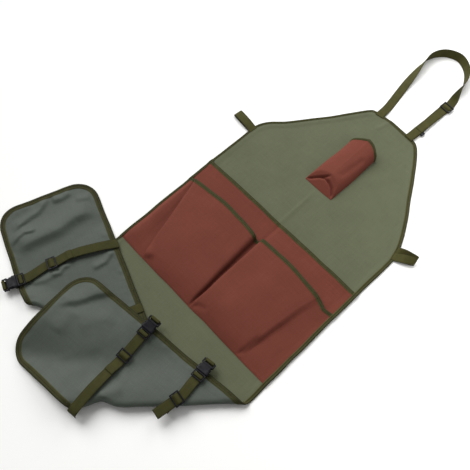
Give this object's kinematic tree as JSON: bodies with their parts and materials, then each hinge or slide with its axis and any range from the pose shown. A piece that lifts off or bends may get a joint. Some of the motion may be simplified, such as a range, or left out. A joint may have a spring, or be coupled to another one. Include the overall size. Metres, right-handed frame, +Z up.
{
  "type": "gardening apron",
  "caption": "Split-leg gardening apron lying flat with its legs folded up over the front: bib, bound edges, red pockets, webbing neck strap, belt loops and buckled leg straps.",
  "frame": {"origin": "on the floor under the apron's back, on the centre line at the rear pocket's top edge", "axes": "+Y toward the bib and neck strap, +X to the right seen from above, +Z up off the floor"},
  "size_m": [0.8348, 1.4651, 0.0332],
  "materials": {
    "green_cloth": "matte woven front, grey coated reverse",
    "red_cloth": "matte woven cloth",
    "olive_tape": "folded woven binding tape",
    "olive_webbing": "flat woven webbing",
    "black_plastic": "moulded satin plastic"
  },
  "bodies": {
    "root": {"main_panel": "green_cloth", "edge_binding": "olive_tape", "rear_pocket": "red_cloth", "rear_pocket_binding": "olive_tape", "front_pocket": "red_cloth", "front_pocket_binding": "olive_tape", "bib_pocket": "red_cloth", "bib_pocket_binding": "olive_tape", "neck_strap": "olive_webbing", "neck_tab": "olive_webbing", "neck_slider": "black_plastic", "neck_ring": "black_plastic", "left_loop": "olive_webbing", "right_loop": "olive_webbing", "strap_a": "olive_webbing", "tab_a": "olive_webbing", "slider_a": "black_plastic", "buckle_male_a": "black_plastic", "buckle_female_a": "black_plastic", "strap_b": "olive_webbing", "tab_b": "olive_webbing", "slider_b": "black_plastic", "buckle_male_b": "black_plastic", "buckle_female_b": "black_plastic", "strap_c": "olive_webbing", "tab_c": "olive_webbing", "slider_c": "black_plastic", "buckle_male_c": "black_plastic", "buckle_female_c": "black_plastic", "strap_d": "olive_webbing"}
  },
  "joints": []
}
